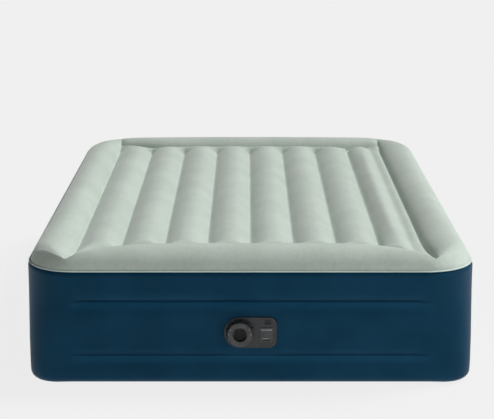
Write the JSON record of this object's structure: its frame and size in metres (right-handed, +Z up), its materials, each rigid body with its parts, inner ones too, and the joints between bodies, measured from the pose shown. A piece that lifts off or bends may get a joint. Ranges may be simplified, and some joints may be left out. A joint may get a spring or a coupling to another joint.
{
  "type": "air mattress",
  "caption": "Raised air bed with a rounded edge roll, a top of parallel lengthwise channels, a grooved side wall and a built-in pump with a round dial at the foot end.",
  "frame": {"origin": "middle of the underside, on the floor", "axes": "+Z up, +Y from the pump end to the other end, +X to the right as seen by someone facing the pump"},
  "size_m": [1.5202, 2.0541, 0.46],
  "materials": {
    "flocked_pvc": "short grey-green flock on PVC film",
    "navy_pvc": "satin navy PVC film",
    "inner_pvc": "plain PVC film",
    "collar_pvc": "soft moulded PVC",
    "grey_plastic": "charcoal fine-grained moulded ABS",
    "black_plastic": "moulded ABS",
    "white_plastic": "moulded polypropylene",
    "rubber": "soft rubber",
    "steel": "plated steel",
    "zinc_steel": "zinc-plated sheet steel",
    "brass": "plain brass",
    "black_magnet": "sintered ferrite"
  },
  "bodies": {
    "mattress": {"bottom_sheet": "navy_pvc", "case_screws": "steel", "channel_beam_1": "inner_pvc", "channel_beam_2": "inner_pvc", "channel_beam_3": "inner_pvc", "channel_beam_4": "inner_pvc", "channel_beam_5": "inner_pvc", "channel_beam_6": "inner_pvc", "channel_beam_7": "inner_pvc", "channel_beam_8": "inner_pvc", "channel_beam_9": "inner_pvc", "cord_gland": "rubber", "cord_locker": "black_plastic", "door_pin": "steel", "face_plate": "grey_plastic", "fan_case": "black_plastic", "flap_pin": "steel", "foot_beam": "inner_pvc", "foot_tie_lower": "inner_pvc", "foot_tie_upper": "inner_pvc", "front_case": "black_plastic", "head_beam": "inner_pvc", "head_tie_lower": "inner_pvc", "head_tie_upper": "inner_pvc", "left_tie_lower": "inner_pvc", "left_tie_upper": "inner_pvc", "motor_bushes": "brass", "motor_can": "zinc_steel", "motor_cap": "black_plastic", "motor_magnets": "black_magnet", "motor_screws": "steel", "plate_screws": "steel", "rear_case": "black_plastic", "right_tie_lower": "inner_pvc", "right_tie_upper": "inner_pvc", "side_wall": "navy_pvc", "switch_body": "black_plastic", "switch_terminals": "brass", "top_sheet": "flocked_pvc", "weld_collar": "collar_pvc"},
    "dial": {"dial": "grey_plastic", "dial_grille": "black_plastic", "drum_seal": "rubber"},
    "rocker": {"switch_rocker": "black_plastic"},
    "door": {"cord_door": "grey_plastic"},
    "rotor": {"impeller": "white_plastic", "motor_shaft": "steel", "armature": "steel"},
    "flap": {"check_flap": "white_plastic", "flap_seal": "rubber"}
  },
  "joints": [
    {"name": "dial_turn", "type": "hinge", "parent": "mattress", "child": "dial", "pos_m": [-0.035, -1.009, 0.187], "axis": [0, -1, 0], "range_deg": [-90, 90]},
    {"name": "rocker_tilt", "type": "hinge", "parent": "mattress", "child": "rocker", "pos_m": [0.059, -1.013, 0.222], "axis": [1, 0, 0], "range_deg": [0, 18]},
    {"name": "door_hinge", "type": "hinge", "parent": "mattress", "child": "door", "pos_m": [0.0545, -1.011, 0.2029], "axis": [-1, 0, 0], "range_deg": [0, 100]},
    {"name": "rotor_spin", "type": "hinge", "parent": "mattress", "child": "rotor", "pos_m": [-0.035, -0.95, 0.187], "axis": [0, -1, 0], "continuous": true},
    {"name": "flap_hinge", "type": "hinge", "parent": "mattress", "child": "flap", "pos_m": [0, -0.89595, 0.2095], "axis": [1, 0, 0], "range_deg": [0, 50]}
  ]
}
